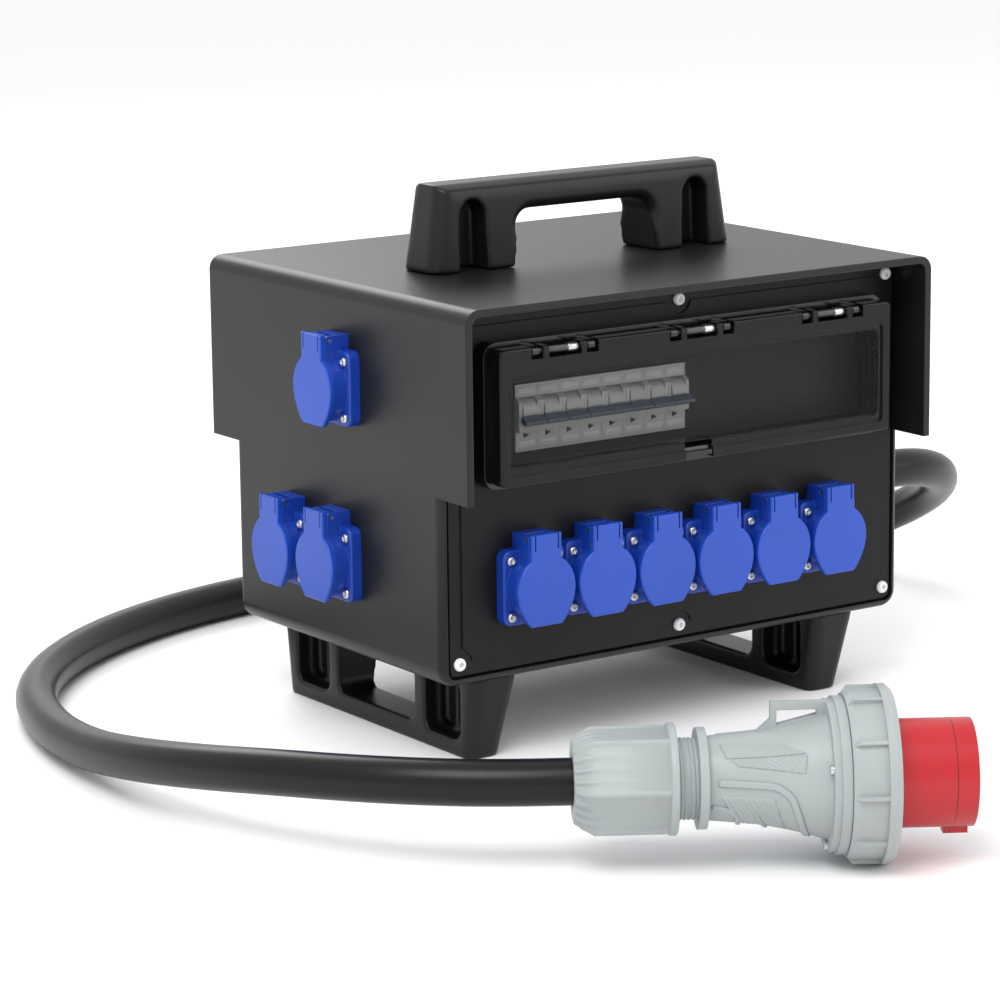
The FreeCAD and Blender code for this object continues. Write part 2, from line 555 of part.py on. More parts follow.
# handle: a bracket at each end and a bar between, bolted through the roof from inside
handle = new_body("carry_handle")
pad(handle, "YZ_Plane", "-handle_half", "handle_half",
    ("loop", ("handle_front", "housing_height"), ("handle_back", "housing_height"),
     ("handle_back-2", "304"), ("handle_back-3.5", "310.7"), ("134", "handle_top"),
     ("114.5", "handle_top"), ("handle_front+3.5", "310.7"), ("handle_front+2", "304")))
for side in (-1, 1):
    pocket(handle, "XZ_Plane", "-handle_back-1", "-handle_front+1",
           ("loop", ("%d*handle_half" % side, "housing_height"),
            ("%d*(handle_half+1)" % side, "housing_height-1"),
            ("%d*(handle_half+1)" % side, "handle_top+1"), ("%d*handle_top_half" % side, "handle_top+1"),
            ("%d*handle_top_half" % side, "handle_top")))
soften(handle, "Fillet", "11", lambda edge: isinstance(edge.Curve, Part.Line) and edge.Length > 45
       and abs(edge.CenterOfMass.x) > 120 and abs(edge.tangentAt(edge.FirstParameter).z) > 0.9)
pocket(handle, "XZ_Plane", "-handle_back-1", "-handle_front+1",
       ("loop", ("-grip_half", "housing_height-1"), ("grip_half", "housing_height-1"),
        ("grip_top_half", "grip_under-12"),
        ("grip_top_half-3.5", "grip_under-3.5", "grip_top_half-12", "grip_under"),
        ("-grip_top_half+12", "grip_under"),
        ("-grip_top_half+3.5", "grip_under-3.5", "-grip_top_half", "grip_under-12")))
arches = []
for side in (-1, 1):
    arches.append(("loop", ("%d*83" % side, "housing_height-1"), ("%d*84" % side, "293"),
                   ("%d*94.5" % side, "303", "%d*105" % side, "293"), ("%d*106" % side, "housing_height-1")))
pocket(handle, "XZ_Plane", "-122", "-handle_front+1", *arches)
pocket(handle, "XZ_Plane", "-handle_back-1", "-127", *arches)
soften(handle, "Fillet", "7", lambda edge: edge_runs(edge, "x") and abs(edge.CenterOfMass.x) < 5
       and abs(edge.CenterOfMass.z - number("grip_under")) < 0.1)
pocket(handle, "XY_Plane", "housing_height-1", "housing_height+16",
       *[("circle", across, back, "2.6") for across, back in HANDLE_SCREWS])
settle(handle)

# feet: two alike, each a tall block with a window through it and two blind recesses on one side
for name, left in (("foot_left", "foot_left_side"), ("foot_right", "foot_left_side+foot_pitch")):
    foot = new_body(name)
    top = new_sketch(foot, "XY_Plane", "0",
                     [("box", "0", "foot_wide", "-foot_half", "foot_half", "foot_round")])
    sole = new_sketch(foot, "XY_Plane", "-foot_high",
                      [("box", "0", "foot_narrow", "-foot_half_low", "foot_half_low", "foot_round")])
    loft = foot.newObject("PartDesign::AdditiveLoft", "loft")
    loft.Profile = top
    loft.Sections = [sole]
    loft.Ruled = True
    foot.Tip = loft
    pocket(foot, "YZ_Plane", "-1", "foot_wide+1", ("box", "-48", "47", "-43", "-3", "8"))
    pocket(foot, "YZ_Plane", "-1", "12", ("box", "-103", "-61", "-45", "-4", "8"),
           ("box", "59", "100", "-45", "-4", "8"))
    pocket(foot, "YZ_Plane", "11", "18", ("box", "-101", "-84", "-43", "-6", "6"),
           ("box", "-80", "-63", "-43", "-6", "6"), ("box", "61", "77.5", "-43", "-6", "6"),
           ("box", "81.5", "98", "-43", "-6", "6"))
    pocket(foot, "XY_Plane", "-16", "1", ("circle", "29", "46-foot_middle", "2.6"),
           ("circle", "29", "210-foot_middle", "2.6"))
    settle(foot, left, "foot_middle", "0")

screws = []
for across, back in HANDLE_SCREWS:
    screws.append(new_screw("4.5", "3", "2.5", "20", (across, back, "housing_height-wall"), (1, 0, 0), 180))
for across, back in FOOT_SCREWS:
    screws.append(new_screw("4.5", "3", "2.5", "20", (across, back, "wall"), (1, 0, 0), 0))
settle(new_group("shell_screws", screws))

# gland: a body through the right wall with its locknut inside, and a domed nut round the lead
gland = new_body("cable_gland")
spin(gland, ("182", "14.7"), ("214", "14.7"), ("214", "17"), ("201", "17"), ("201", "22"), ("195", "22"),
     ("195", "16"), ("189.9", "16"), ("189.9", "21"), ("184", "21"), ("184", "16"), ("182", "16"))
settle(gland, "0", "gland_back", "gland_up")
nut = new_body("gland_nut")
spin(nut, ("201.3", "17.2"), ("214.3", "17.2"), ("214.3", "14.7"), ("gland_end-2", "14.7"),
     ("gland_end-2", "12"), ("gland_end", "12"), ("gland_end", "17"), ("gland_end-6", "20.5"), ("211", "22"),
     ("201.3", "22"))
settle(nut, "0", "gland_back", "gland_up")

# plug: its x axis runs from the lead's end to the open end of its shroud
def settle_plug(thing):
    return settle(thing, "plug_x", "plug_y", "plug_z", turn=number("plug_turn"))


plug_nut = new_body("plug_gland_nut")
spin(plug_nut, ("0", "12"), ("3", "12"), ("3", "16"), ("60", "16"), ("60", "24.4"), ("plug_nut_end", "24.4"),
     ("plug_nut_end", "34"), ("57", "34"), ("57", "31.6"), ("7", "31.6"), ("0", "25"))
nut_rib = pad(plug_nut, "XY_Plane", "-1.4", "1.4",
              ("loop", ("3", "-25"), ("58", "-25"), ("58", "-33"), ("9", "-33")))
around(plug_nut, nut_rib, 6)
settle_plug(plug_nut)

plug = new_body("plug_body")
spin(plug, ("60", "13"), ("80", "13"), ("80", "20"), ("spigot_end", "28"), ("spigot_end", "spigot_radius"),
     ("163", "spigot_radius"), ("163", "47.8"), ("157", "47.8"), ("157", "46.2"), ("152.5", "46.2"),
     ("152.5", "38.8"), ("133", "33"), ("113", "28.7"), ("80", "25.3"), ("80", "30.8"),
     ("74.5", "30.8"), ("74.5", "24.2"), ("60", "24.2"))
pad(plug, "XZ_Plane", "-2.8", "2.8",
    ("loop", ("108", "26"), ("119", "36"), ("119", "46.5"), ("153", "46.5"), ("153", "32")))
pocket(plug, "XZ_Plane", "-4", "4",
       ("loop", ("122.8", "32.5"), ("122.8", "41.8"), ("147", "41.8"), ("147", "38.6")))
PLUG_SCREWS = []
for place in range(4):
    angle = math.radians(70 + 90 * place)
    PLUG_SCREWS.append(("%.3f" % (42 * math.cos(angle)), "%.3f" % (42 * math.sin(angle))))
pocket(plug, "YZ_Plane", "152", "160", *[("circle", across, up, "1.9") for across, up in PLUG_SCREWS])
settle_plug(plug)

ring = new_body("plug_locking_ring")
spin(ring, ("ring_start", "spigot_radius+0.1"), ("spigot_end+0.4", "spigot_radius+0.1"),
     ("spigot_end+0.4", "shroud_radius+0.6"), ("ring_end", "shroud_radius+0.6"), ("ring_end", "52"),
     ("ring_end-3", "ring_radius"), ("ring_end-8", "ring_radius"), ("ring_end-8", "51.5"),
     ("ring_start+3", "51"), ("ring_start", "49.5"))
ring_rib = pad(ring, "XY_Plane", "-1.3", "1.3", ("loop", ("ring_start+1", "-50"), ("ring_end-7", "-50"),
                                                 ("ring_end-7", "-54"), ("ring_start+4", "-54")))
around(ring, ring_rib, 10)
settle_plug(ring)

shroud = new_body("plug_shroud")
spin(shroud, ("spigot_end", "0"), ("196", "0"), ("196", "29.2"), ("shroud_end", "29.2"),
     ("shroud_end", "shroud_radius"), ("spigot_end", "shroud_radius"))
pad(shroud, "XZ_Plane", "-4.5", "4.5",
    ("loop", ("224", "-37.2"), ("239", "-37.2"), ("239", "-32"), ("224", "-32")))
settle_plug(shroud)

contacts = []
for place in range(5):
    angle = math.radians(90 + 72 * place)
    at = ("196", "%.3f" % (19 * math.cos(angle)), "%.3f" % (19 * math.sin(angle)))
    contacts.append(new_rod("4", "36", at))
settle_plug(new_group("plug_pins", contacts))

screws = []
for across, up in PLUG_SCREWS:
    screws.append(new_screw("3.1", "2.2", "1.8", "7", ("152.5", across, up), (0, 1, 0), -90))
settle_plug(new_group("plug_screws", screws))

# lead: from the gland back along the floor behind the box, round its left side to the plug;
# the route is in the part's own frame
ROUTE = [
    (243.35, 1, 122.5), (295, 1, 122.5), (347, 9, 118), (393, 36, 101), (422, 83, 75), (426, 139, 47),
    (405, 194, 23), (361, 245, 14.5), (290, 289, 14.5), (201, 320, 14.5), (101, 338, 14.5),
    (-6, 341, 14.5), (-106, 327, 14.5), (-197, 292, 14.5), (-274, 238, 14.5), (-331, 168, 14.5),
    (-362, 86, 15), (-376, 5, 19.5), (-380, -68, 30), (-374, -136, 40), (-359, -196, 48),
    (-335, -248, 52), (-306, -289, 54), (-271, -321.5, 54.5), (-236.15, -343, 54.5)]


def lead_path(points):
    """Straight runs joined by tangent arcs, each as large as its two runs allow."""
    points = [FreeCAD.Vector(*point) for point in points]
    edges = []
    radii = []
    start = points[0]
    for before, here, after in zip(points, points[1:], points[2:]):
        back_way = (before - here).normalize()
        on_way = (after - here).normalize()
        turn = math.pi - back_way.getAngle(on_way)
        reach = 0.45 * min(before.distanceToPoint(here), after.distanceToPoint(here))
        radius = reach / math.tan(turn / 2)
        radii.append(radius)
        bisector = (back_way + on_way).normalize()
        middle = here + bisector * (radius / math.cos(turn / 2) - radius)
        arc_start = here + back_way * reach
        arc_end = here + on_way * reach
        edges.append(Part.LineSegment(start, arc_start).toShape())
        edges.append(Part.Arc(arc_start, middle, arc_end).toShape())
        start = arc_end
    edges.append(Part.LineSegment(start, points[-1]).toShape())
    return Part.Wire(edges), radii


path, radii = lead_path(ROUTE)
print("lead bend radii:", [round(radius) for radius in radii])
print("lead length:", round(path.Length))
lead_radius = number("lead_radius")
first_way = FreeCAD.Vector(*ROUTE[1]) - FreeCAD.Vector(*ROUTE[0])
section = Part.Wire([Part.Circle(FreeCAD.Vector(*ROUTE[0]), first_way, lead_radius).toShape()])
lead = doc.addObject("Part::Feature", "supply_cable")
lead.Label = "supply_cable"
lead.Shape = path.makePipeShell([section], True, True)
kept.append(lead)

doc.recompute()
for thing in doc.Objects:
    if "Invalid" in thing.State or "Error" in thing.State:
        raise RuntimeError("%s (%s) did not build" % (thing.Name, thing.Label))
for piece in kept:
    if piece.Shape.isNull() or not piece.Shape.isValid():
        raise RuntimeError("%s has no valid shape" % piece.Label)
length_volume = math.pi * lead_radius ** 2 * path.Length
print("lead volume over section times length:", round(lead.Shape.Volume / length_volume, 4))

os.makedirs("parts", exist_ok=True)
for piece in kept:
    piece.Shape.exportStep("parts/%s.step" % piece.Label)
print("nodes written:", len(kept))
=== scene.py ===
"""A portable power distribution box under soft studio light: black rubber and plastic, blue
sockets, a smoked breaker window, a heavy rubber lead and a grey and red five-pin plug.
Every size is in metres, in the box's own frame: +X right, +Y back, +Z up, floor at z = 0."""
import math
import bpy
import numpy as np
from mathutils import Matrix, Vector


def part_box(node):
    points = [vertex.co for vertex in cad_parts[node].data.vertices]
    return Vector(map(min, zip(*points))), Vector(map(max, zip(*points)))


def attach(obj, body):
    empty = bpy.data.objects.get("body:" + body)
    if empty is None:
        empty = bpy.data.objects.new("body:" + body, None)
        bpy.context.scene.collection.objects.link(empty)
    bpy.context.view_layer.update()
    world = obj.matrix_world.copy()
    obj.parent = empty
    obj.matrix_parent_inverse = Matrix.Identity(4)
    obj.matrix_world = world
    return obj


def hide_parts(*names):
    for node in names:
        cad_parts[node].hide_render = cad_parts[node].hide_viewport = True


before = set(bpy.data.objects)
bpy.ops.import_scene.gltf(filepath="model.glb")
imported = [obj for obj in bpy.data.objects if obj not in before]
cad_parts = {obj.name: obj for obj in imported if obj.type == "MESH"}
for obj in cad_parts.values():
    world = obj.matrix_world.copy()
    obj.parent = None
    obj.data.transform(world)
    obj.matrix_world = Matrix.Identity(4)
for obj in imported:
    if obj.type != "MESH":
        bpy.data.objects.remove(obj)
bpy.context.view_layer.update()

MM = 0.001

# ---- Camera: a long lens above the box's left front corner -------------------------------------
# It stands 2.7 m off, looks down 12 degrees and leans by half a degree.
camera_place = Vector((-1.50915, -2.1039, 0.6918))
camera_yaw, camera_pitch, camera_roll = math.radians(34.776), math.radians(-12.059), math.radians(-0.639)
forward = Vector((math.sin(camera_yaw) * math.cos(camera_pitch),
                  math.cos(camera_yaw) * math.cos(camera_pitch), math.sin(camera_pitch)))
level_right = Vector((math.cos(camera_yaw), -math.sin(camera_yaw), 0))
level_up = level_right.cross(forward)
camera_right = level_right * math.cos(camera_roll) + level_up * math.sin(camera_roll)
camera_up = level_up * math.cos(camera_roll) - level_right * math.sin(camera_roll)
lens = bpy.data.cameras.new("camera")
lens.sensor_width = 36
lens.lens = 135.5
lens.clip_end = 50
camera = bpy.data.objects.new("camera", lens)
camera.matrix_world = Matrix.Translation(camera_place) @ Matrix(
    (camera_right, camera_up, -forward)).transposed().to_4x4()
bpy.context.scene.collection.objects.link(camera)
bpy.context.scene.camera = camera

# ---- Studio: a white floor, a white sky and three soft lamps -----------------------------------
# The floor is one large sheet; the lamps are wide squares that give soft, short shadows.
floor_mesh = bpy.data.meshes.new("floor")
floor_mesh.from_pydata([(-14, -14, 0), (14, -14, 0), (14, 14, 0), (-14, 14, 0)], [], [(0, 1, 2, 3)])
floor = bpy.data.objects.new("floor", floor_mesh)
bpy.context.scene.collection.objects.link(floor)
floor_material = bpy.data.materials.new("pale_floor")
floor_material.use_nodes = True
floor_shader = floor_material.node_tree.nodes["Principled BSDF"]
floor_shader.inputs["Base Color"].default_value = (0.93, 0.93, 0.93, 1)
floor_shader.inputs["Roughness"].default_value = 0.7
floor_mesh.materials.append(floor_material)

sky = bpy.data.worlds.new("studio")
sky.use_nodes = True
sky.node_tree.nodes["Background"].inputs["Color"].default_value = (1, 1, 1, 1)
sky.node_tree.nodes["Background"].inputs["Strength"].default_value = 1.0
bpy.context.scene.world = sky
bpy.context.scene.view_settings.view_transform = "Standard"


def soft_lamp(name, place, aim, width, watts):
    """A square lamp at a place, turned to its aim."""
    data = bpy.data.lights.new(name, "AREA")
    data.size = width
    data.energy = watts
    lamp = bpy.data.objects.new(name, data)
    way = Vector(aim) - Vector(place)
    lamp.matrix_world = Matrix.Translation(place) @ way.to_track_quat("-Z", "Y").to_matrix().to_4x4()
    bpy.context.scene.collection.objects.link(lamp)


soft_lamp("key_lamp", (-1.6, -1.2, 2.6), (0, 0, 0.15), 1.6, 55)
soft_lamp("fill_lamp", (2.0, -2.2, 1.5), (0, 0, 0.15), 1.8, 22)
soft_lamp("back_lamp", (0.6, 2.6, 2.2), (0, 0, 0.3), 1.8, 40)

# ---- Supply lead: 29 mm five-core rubber cable --------------------------------------------------
# It leaves the right wall, turns back behind the box, lies on the floor and rises to the plug.
# The sheath is extruded rubber: smooth, with a fine grain and a little dust.


def link(tree, source, target):
    tree.links.new(source, target)


def finish_group():
    """Colour, roughness and normal of a moulded surface, from four ideas: a fine grain, a slow
    cloud of colour, edges that are rounded by the bevel normal, and a paler edge, partly wear and
    partly painted highlight, where the bevelled and the true normals part."""
    tree = bpy.data.node_groups.new("moulded_finish", "ShaderNodeTree")
    for name, kind, value in (("Colour", "NodeSocketColor", (0.5, 0.5, 0.5, 1)),
                              ("Rub and Highlight Colour", "NodeSocketColor", (0.6, 0.6, 0.6, 1)),
                              ("Grain", "NodeSocketFloat", 900), ("Grain Depth", "NodeSocketFloat", 0.1),
                              ("Roughness", "NodeSocketFloat", 0.45), ("Edge", "NodeSocketFloat", 0.0008),
                              ("Rub and Highlight Amount", "NodeSocketFloat", 0.3), ("Cloud", "NodeSocketFloat", 0.12)):
        socket = tree.interface.new_socket(name=name, in_out="INPUT", socket_type=kind)
        socket.default_value = value
    for name, kind in (("Colour", "NodeSocketColor"), ("Roughness", "NodeSocketFloat"),
                       ("Normal", "NodeSocketVector")):
        tree.interface.new_socket(name=name, in_out="OUTPUT", socket_type=kind)
    new = tree.nodes.new
    given, result = new("NodeGroupInput"), new("NodeGroupOutput")
    place = new("ShaderNodeTexCoord")
    grain = new("ShaderNodeTexNoise")
    grain.inputs["Detail"].default_value = 3
    link(tree, place.outputs["Object"], grain.inputs["Vector"])
    link(tree, given.outputs["Grain"], grain.inputs["Scale"])
    cloud = new("ShaderNodeTexNoise")
    cloud.inputs["Scale"].default_value = 14
    cloud.inputs["Detail"].default_value = 4
    link(tree, place.outputs["Object"], cloud.inputs["Vector"])
    round_edge = new("ShaderNodeBevel")
    round_edge.samples = 6
    link(tree, given.outputs["Edge"], round_edge.inputs["Radius"])
    bump = new("ShaderNodeBump")
    bump.inputs["Distance"].default_value = 0.0003
    link(tree, given.outputs["Grain Depth"], bump.inputs["Strength"])
    link(tree, grain.outputs["Fac"], bump.inputs["Height"])
    link(tree, round_edge.outputs["Normal"], bump.inputs["Normal"])
    link(tree, bump.outputs["Normal"], result.inputs["Normal"])
    true_side = new("ShaderNodeNewGeometry")
    agree = new("ShaderNodeVectorMath")
    agree.operation = "DOT_PRODUCT"
    link(tree, round_edge.outputs["Normal"], agree.inputs[0])
    link(tree, true_side.outputs["Normal"], agree.inputs[1])
    # Edges where the bevelled and true normals part take a paler colour: partly wear, partly a painted
    # highlight.
    edge = new("ShaderNodeMapRange")
    edge.inputs["From Min"].default_value = 0.98
    edge.inputs["From Max"].default_value = 0.80
    link(tree, agree.outputs["Value"], edge.inputs["Value"])
    rubbed_and_highlit = new("ShaderNodeMath")
    rubbed_and_highlit.operation = "MULTIPLY"
    link(tree, edge.outputs["Result"], rubbed_and_highlit.inputs[0])
    link(tree, given.outputs["Rub and Highlight Amount"], rubbed_and_highlit.inputs[1])
    patchy = new("ShaderNodeMath")
    patchy.operation = "MULTIPLY"
    link(tree, rubbed_and_highlit.outputs["Value"], patchy.inputs[0])
    link(tree, cloud.outputs["Fac"], patchy.inputs[1])
    shade = new("ShaderNodeMapRange")
    shade.inputs["From Min"].default_value = 0.3
    shade.inputs["From Max"].default_value = 0.7
    shade.inputs["To Min"].default_value = 1
    link(tree, cloud.outputs["Fac"], shade.inputs["Value"])
    dimmest = new("ShaderNodeMath")
    dimmest.operation = "SUBTRACT"
    dimmest.inputs[0].default_value = 1
    link(tree, given.outputs["Cloud"], dimmest.inputs[1])
    link(tree, dimmest.outputs["Value"], shade.inputs["To Max"])
    shaded = new("ShaderNodeVectorMath")
    shaded.operation = "SCALE"
    link(tree, given.outputs["Colour"], shaded.inputs[0])
    link(tree, shade.outputs["Result"], shaded.inputs["Scale"])
    mixed = new("ShaderNodeMix")
    mixed.data_type = "RGBA"
    link(tree, patchy.outputs["Value"], mixed.inputs["Factor"])
    link(tree, shaded.outputs["Vector"], mixed.inputs["A"])
    link(tree, given.outputs["Rub and Highlight Colour"], mixed.inputs["B"])
    link(tree, mixed.outputs["Result"], result.inputs["Colour"])
    rough = new("ShaderNodeMath")
    rough.operation = "MULTIPLY_ADD"
    rough.inputs[1].default_value = 0.14
    link(tree, grain.outputs["Fac"], rough.inputs[0])
    link(tree, given.outputs["Roughness"], rough.inputs[2])
    link(tree, rough.outputs["Value"], result.inputs["Roughness"])
    return tree


moulded_finish = finish_group()


def moulded(name, colour, rubbed_and_highlit, roughness, grain=900, depth=0.12, edge=0.8, rub_and_highlight_amount=0.4, cloud=0.12,
            metal=0.0, specular=0.5, coat=0.0):
    """A material that passes its values through the shared finish; edge is in millimetres."""
    material = bpy.data.materials.new(name)
    material.use_nodes = True
    tree = material.node_tree
    shader = tree.nodes["Principled BSDF"]
    group = tree.nodes.new("ShaderNodeGroup")
    group.node_tree = moulded_finish
    group.inputs["Colour"].default_value = (*colour, 1)
    # The paler edge colour is partly wear and partly a painted highlight.
    group.inputs["Rub and Highlight Colour"].default_value = (*rubbed_and_highlit, 1)
    group.inputs["Grain"].default_value = grain
    group.inputs["Grain Depth"].default_value = depth
    group.inputs["Roughness"].default_value = roughness
    group.inputs["Edge"].default_value = edge * MM
    group.inputs["Rub and Highlight Amount"].default_value = rub_and_highlight_amount
    group.inputs["Cloud"].default_value = cloud
    shader.inputs["Metallic"].default_value = metal
    shader.inputs["Specular IOR Level"].default_value = specular
    shader.inputs["Coat Weight"].default_value = coat
    link(tree, group.outputs["Colour"], shader.inputs["Base Color"])
    link(tree, group.outputs["Roughness"], shader.inputs["Roughness"])
    link(tree, group.outputs["Normal"], shader.inputs["Normal"])
    return material


lead_rubber = moulded("lead_rubber", (0.006, 0.006, 0.0065), (0.05, 0.05, 0.05), 0.24, grain=500,
                      depth=0.05, edge=0.2, rub_and_highlight_amount=0, cloud=0.25, specular=0.25)
lead_route = [
    (0.24335, 0.001, 0.1225), (0.295, 0.001, 0.1225), (0.347, 0.009, 0.118), (0.393, 0.036, 0.101),
    (0.422, 0.083, 0.075), (0.426, 0.139, 0.047), (0.405, 0.194, 0.023), (0.361, 0.245, 0.0145),
    (0.290, 0.289, 0.0145), (0.201, 0.320, 0.0145), (0.101, 0.338, 0.0145), (-0.006, 0.341, 0.0145),
    (-0.106, 0.327, 0.0145), (-0.197, 0.292, 0.0145), (-0.274, 0.238, 0.0145), (-0.331, 0.168, 0.0145),
    (-0.362, 0.086, 0.015), (-0.376, 0.005, 0.0195), (-0.380, -0.068, 0.030), (-0.374, -0.136, 0.040),
    (-0.359, -0.196, 0.048), (-0.335, -0.248, 0.052), (-0.306, -0.289, 0.054), (-0.271, -0.3215, 0.0545),
    (-0.23615, -0.343, 0.0545)]
lead_curve = bpy.data.curves.new("lead", "CURVE")
lead_curve.dimensions = "3D"
lead_curve.bevel_depth = 14.4 * MM
lead_curve.bevel_resolution = 8
lead_curve.resolution_u = 10
lead_curve.use_fill_caps = True
spline = lead_curve.splines.new("NURBS")
spline.points.add(len(lead_route) - 1)
spline.points.foreach_set("co", np.column_stack([lead_route, np.ones(len(lead_route))]).ravel())
spline.order_u = 3
spline.use_endpoint_u = True
lead_curve.materials.append(lead_rubber)
lead = bpy.data.objects.new("lead", lead_curve)
bpy.context.scene.collection.objects.link(lead)
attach(lead, "enclosure")
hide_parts("supply_cable")

# ---- Housing, gland, panel, gasket and frames: the big mouldings --------------------------------
# The housing is one piece of solid black rubber with a satin skin; the panel is harder plastic.
housing_rubber = moulded("housing_rubber", (0.009, 0.009, 0.0095), (0.05, 0.05, 0.05), 0.30, grain=1300,
                         depth=0.10, edge=1.6, rub_and_highlight_amount=0.25, cloud=0.2, specular=0.3)
panel_plastic = moulded("panel_plastic", (0.007, 0.007, 0.0075), (0.05, 0.05, 0.05), 0.34, grain=1500,
                        depth=0.10, edge=0.5, rub_and_highlight_amount=0.25, cloud=0.15, specular=0.2)
frame_plastic = moulded("frame_plastic", (0.004, 0.004, 0.004), (0.04, 0.04, 0.04), 0.12, grain=700,
                        depth=0.03, edge=0.8, rub_and_highlight_amount=0.2, cloud=0.1)
seal_rubber = moulded("seal_rubber", (0.02, 0.02, 0.02), (0.05, 0.05, 0.05), 0.7, grain=2500, depth=0.2)
gland_plastic = moulded("gland_plastic", (0.02, 0.02, 0.021), (0.07, 0.07, 0.07), 0.4, grain=1500, edge=0.5)


def dress(material, *names):
    """Gives CAD nodes their material."""
    for name in names:
        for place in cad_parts[name].material_slots:
            place.material = material


dress(housing_rubber, "housing_shell")
dress(panel_plastic, "front_panel")
dress(seal_rubber, "panel_gasket")
dress(frame_plastic, "window_frame", "window_latch")
dress(gland_plastic, "cable_gland", "gland_nut")

# ---- Handle and feet: thick rubber mouldings with generous radii --------------------------------
# Their edges are too round for a machined look: each is remeshed finely and relaxed, which is
# what the draft and radii of a rubber mould do to the same shape.
handle_rubber = moulded("handle_rubber", (0.007, 0.007, 0.0075), (0.05, 0.05, 0.05), 0.27, grain=1300,
                        depth=0.10, edge=0.6, rub_and_highlight_amount=0.2, cloud=0.2, specular=0.28)


def add_piece(name, mesh, material, body):
    """One finished object at the origin: its mesh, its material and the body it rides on."""
    mesh.materials.clear()
    mesh.materials.append(material)
    piece = bpy.data.objects.new(name, mesh)
    bpy.context.scene.collection.objects.link(piece)
    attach(piece, body)
    return piece


def relaxed_copy(node, voxel, rounds):
    """A copy of a CAD node: doubles merged, rebuilt in voxels, and its corners relaxed."""
    copy = bpy.data.objects.new(node + "_raw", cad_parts[node].data.copy())
    bpy.context.scene.collection.objects.link(copy)
    weld = copy.modifiers.new("weld", "WELD")
    weld.merge_threshold = 0.00001
    rebuilt = copy.modifiers.new("rebuilt", "REMESH")
    rebuilt.mode = "VOXEL"
    rebuilt.voxel_size = voxel
    relaxed = copy.modifiers.new("relaxed", "SMOOTH")
    relaxed.factor = 0.6
    relaxed.iterations = rounds
    bpy.context.view_layer.update()
    mesh = bpy.data.meshes.new_from_object(copy.evaluated_get(bpy.context.evaluated_depsgraph_get()))
    bpy.data.objects.remove(copy)
    mesh.shade_smooth()
    return mesh


for node, slot, rounds in (("carry_handle", "handle", 9), ("foot_left", "foot", 10),
                           ("foot_right", "foot", 10)):
    moulding = add_piece(node + "_moulding", relaxed_copy(node, 1.3 * MM, rounds), handle_rubber,
                         "enclosure")
    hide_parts(node)

# ---- Screws: white Torx screws on the panel, zinc ones on the sockets, plug and inside ----------
# Each is turned from one profile, domed on top, with a six-lobed recess pressed into the head.


def grid_mesh(name, points, wrap_rows=False, wrap_columns=False):
    """A quad mesh over a (rows, columns, 3) array of points; a wrapped way joins its two ends."""
    rows, columns = points.shape[:2]
    row = np.arange(rows if wrap_rows else rows - 1)[:, None]
    column = np.arange(columns if wrap_columns else columns - 1)[None, :]
    next_row, next_column = (row + 1) % rows, (column + 1) % columns
    faces = np.stack([row * columns + column, row * columns + next_column,
                      next_row * columns + next_column, next_row * columns + column], axis=-1)
    mesh = bpy.data.meshes.new(name)
    mesh.from_pydata(points.reshape(-1, 3).tolist(), [], faces.reshape(-1, 4).tolist())
    mesh.shade_smooth()
    return mesh


def join_meshes(name, meshes):
    """Several meshes as one: their corners and faces stacked, the faces renumbered."""
    corners, faces, offset = [], [], 0
    for mesh in meshes:
        flat = np.empty(len(mesh.vertices) * 3)
        mesh.vertices.foreach_get("co", flat)
        loops = np.empty(len(mesh.loops), dtype=int)
        mesh.loops.foreach_get("vertex_index", loops)
        sizes = np.empty(len(mesh.polygons), dtype=int)
        mesh.polygons.foreach_get("loop_total", sizes)
        corners.append(flat.reshape(-1, 3))
        faces += [part.tolist() for part in np.split(loops + offset, np.cumsum(sizes)[:-1])]
        offset += len(mesh.vertices)
    joined = bpy.data.meshes.new(name)
    joined.from_pydata(np.concatenate(corners).tolist(), [], faces)
    joined.shade_smooth()
    return joined


def placed(points, origin, out, side):
    """Points of a (.., 3) array moved so that local z points out, local x along side."""
    z = np.array(out, float)
    x = np.array(side, float)
    turn = np.stack([x, np.cross(z, x), z])
    return points @ turn + np.array(origin)


def screw_points(head, height, shank, long, sides=18):
    """A domed head and its shank about z, the head's seat at z = 0. The recess lowers the dome
    inside a six-lobed curve, radius 0.42 + 0.10 cos 6a of the head's."""
    angle = np.linspace(0, 2 * np.pi, sides * 2, endpoint=False)[None, :]
    lobe = head * (0.42 + 0.10 * np.cos(6 * angle))
    rows = [(lobe * 0.02, height * 0.35), (lobe * 0.92, height * 0.35), (lobe, height * 0.96),
            (lobe * 1.12, height)]
    for share, up in ((0.70, 0.95), (0.90, 0.74), (0.99, 0.42), (1.0, 0.12), (0.97, 0.0)):
        rows.append((head * share + 0 * angle, height * up))
    rows += [(shank + 0 * angle, 0), (shank + 0 * angle, 0.7 * MM - long), (shank * 0.7 + 0 * angle, -long),
             (shank * 0.02 + 0 * angle, -long)]
    radius = np.concatenate([row[0] for row in rows])
    up = np.array([row[1] for row in rows])[:, None] + 0 * radius
    return np.stack([radius * np.cos(angle), radius * np.sin(angle), up], axis=-1)


def add_screws(name, node, places, sizes, material):
    """All the screws of one node as one piece: each place is (seat, out, side)."""
    shape = screw_points(*[size * MM for size in sizes])
    meshes = [grid_mesh(name, placed(shape, *place)[::-1], wrap_columns=True) for place in places]
    piece = add_piece(name, join_meshes(name, meshes), material, "enclosure")
    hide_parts(node)
    return piece


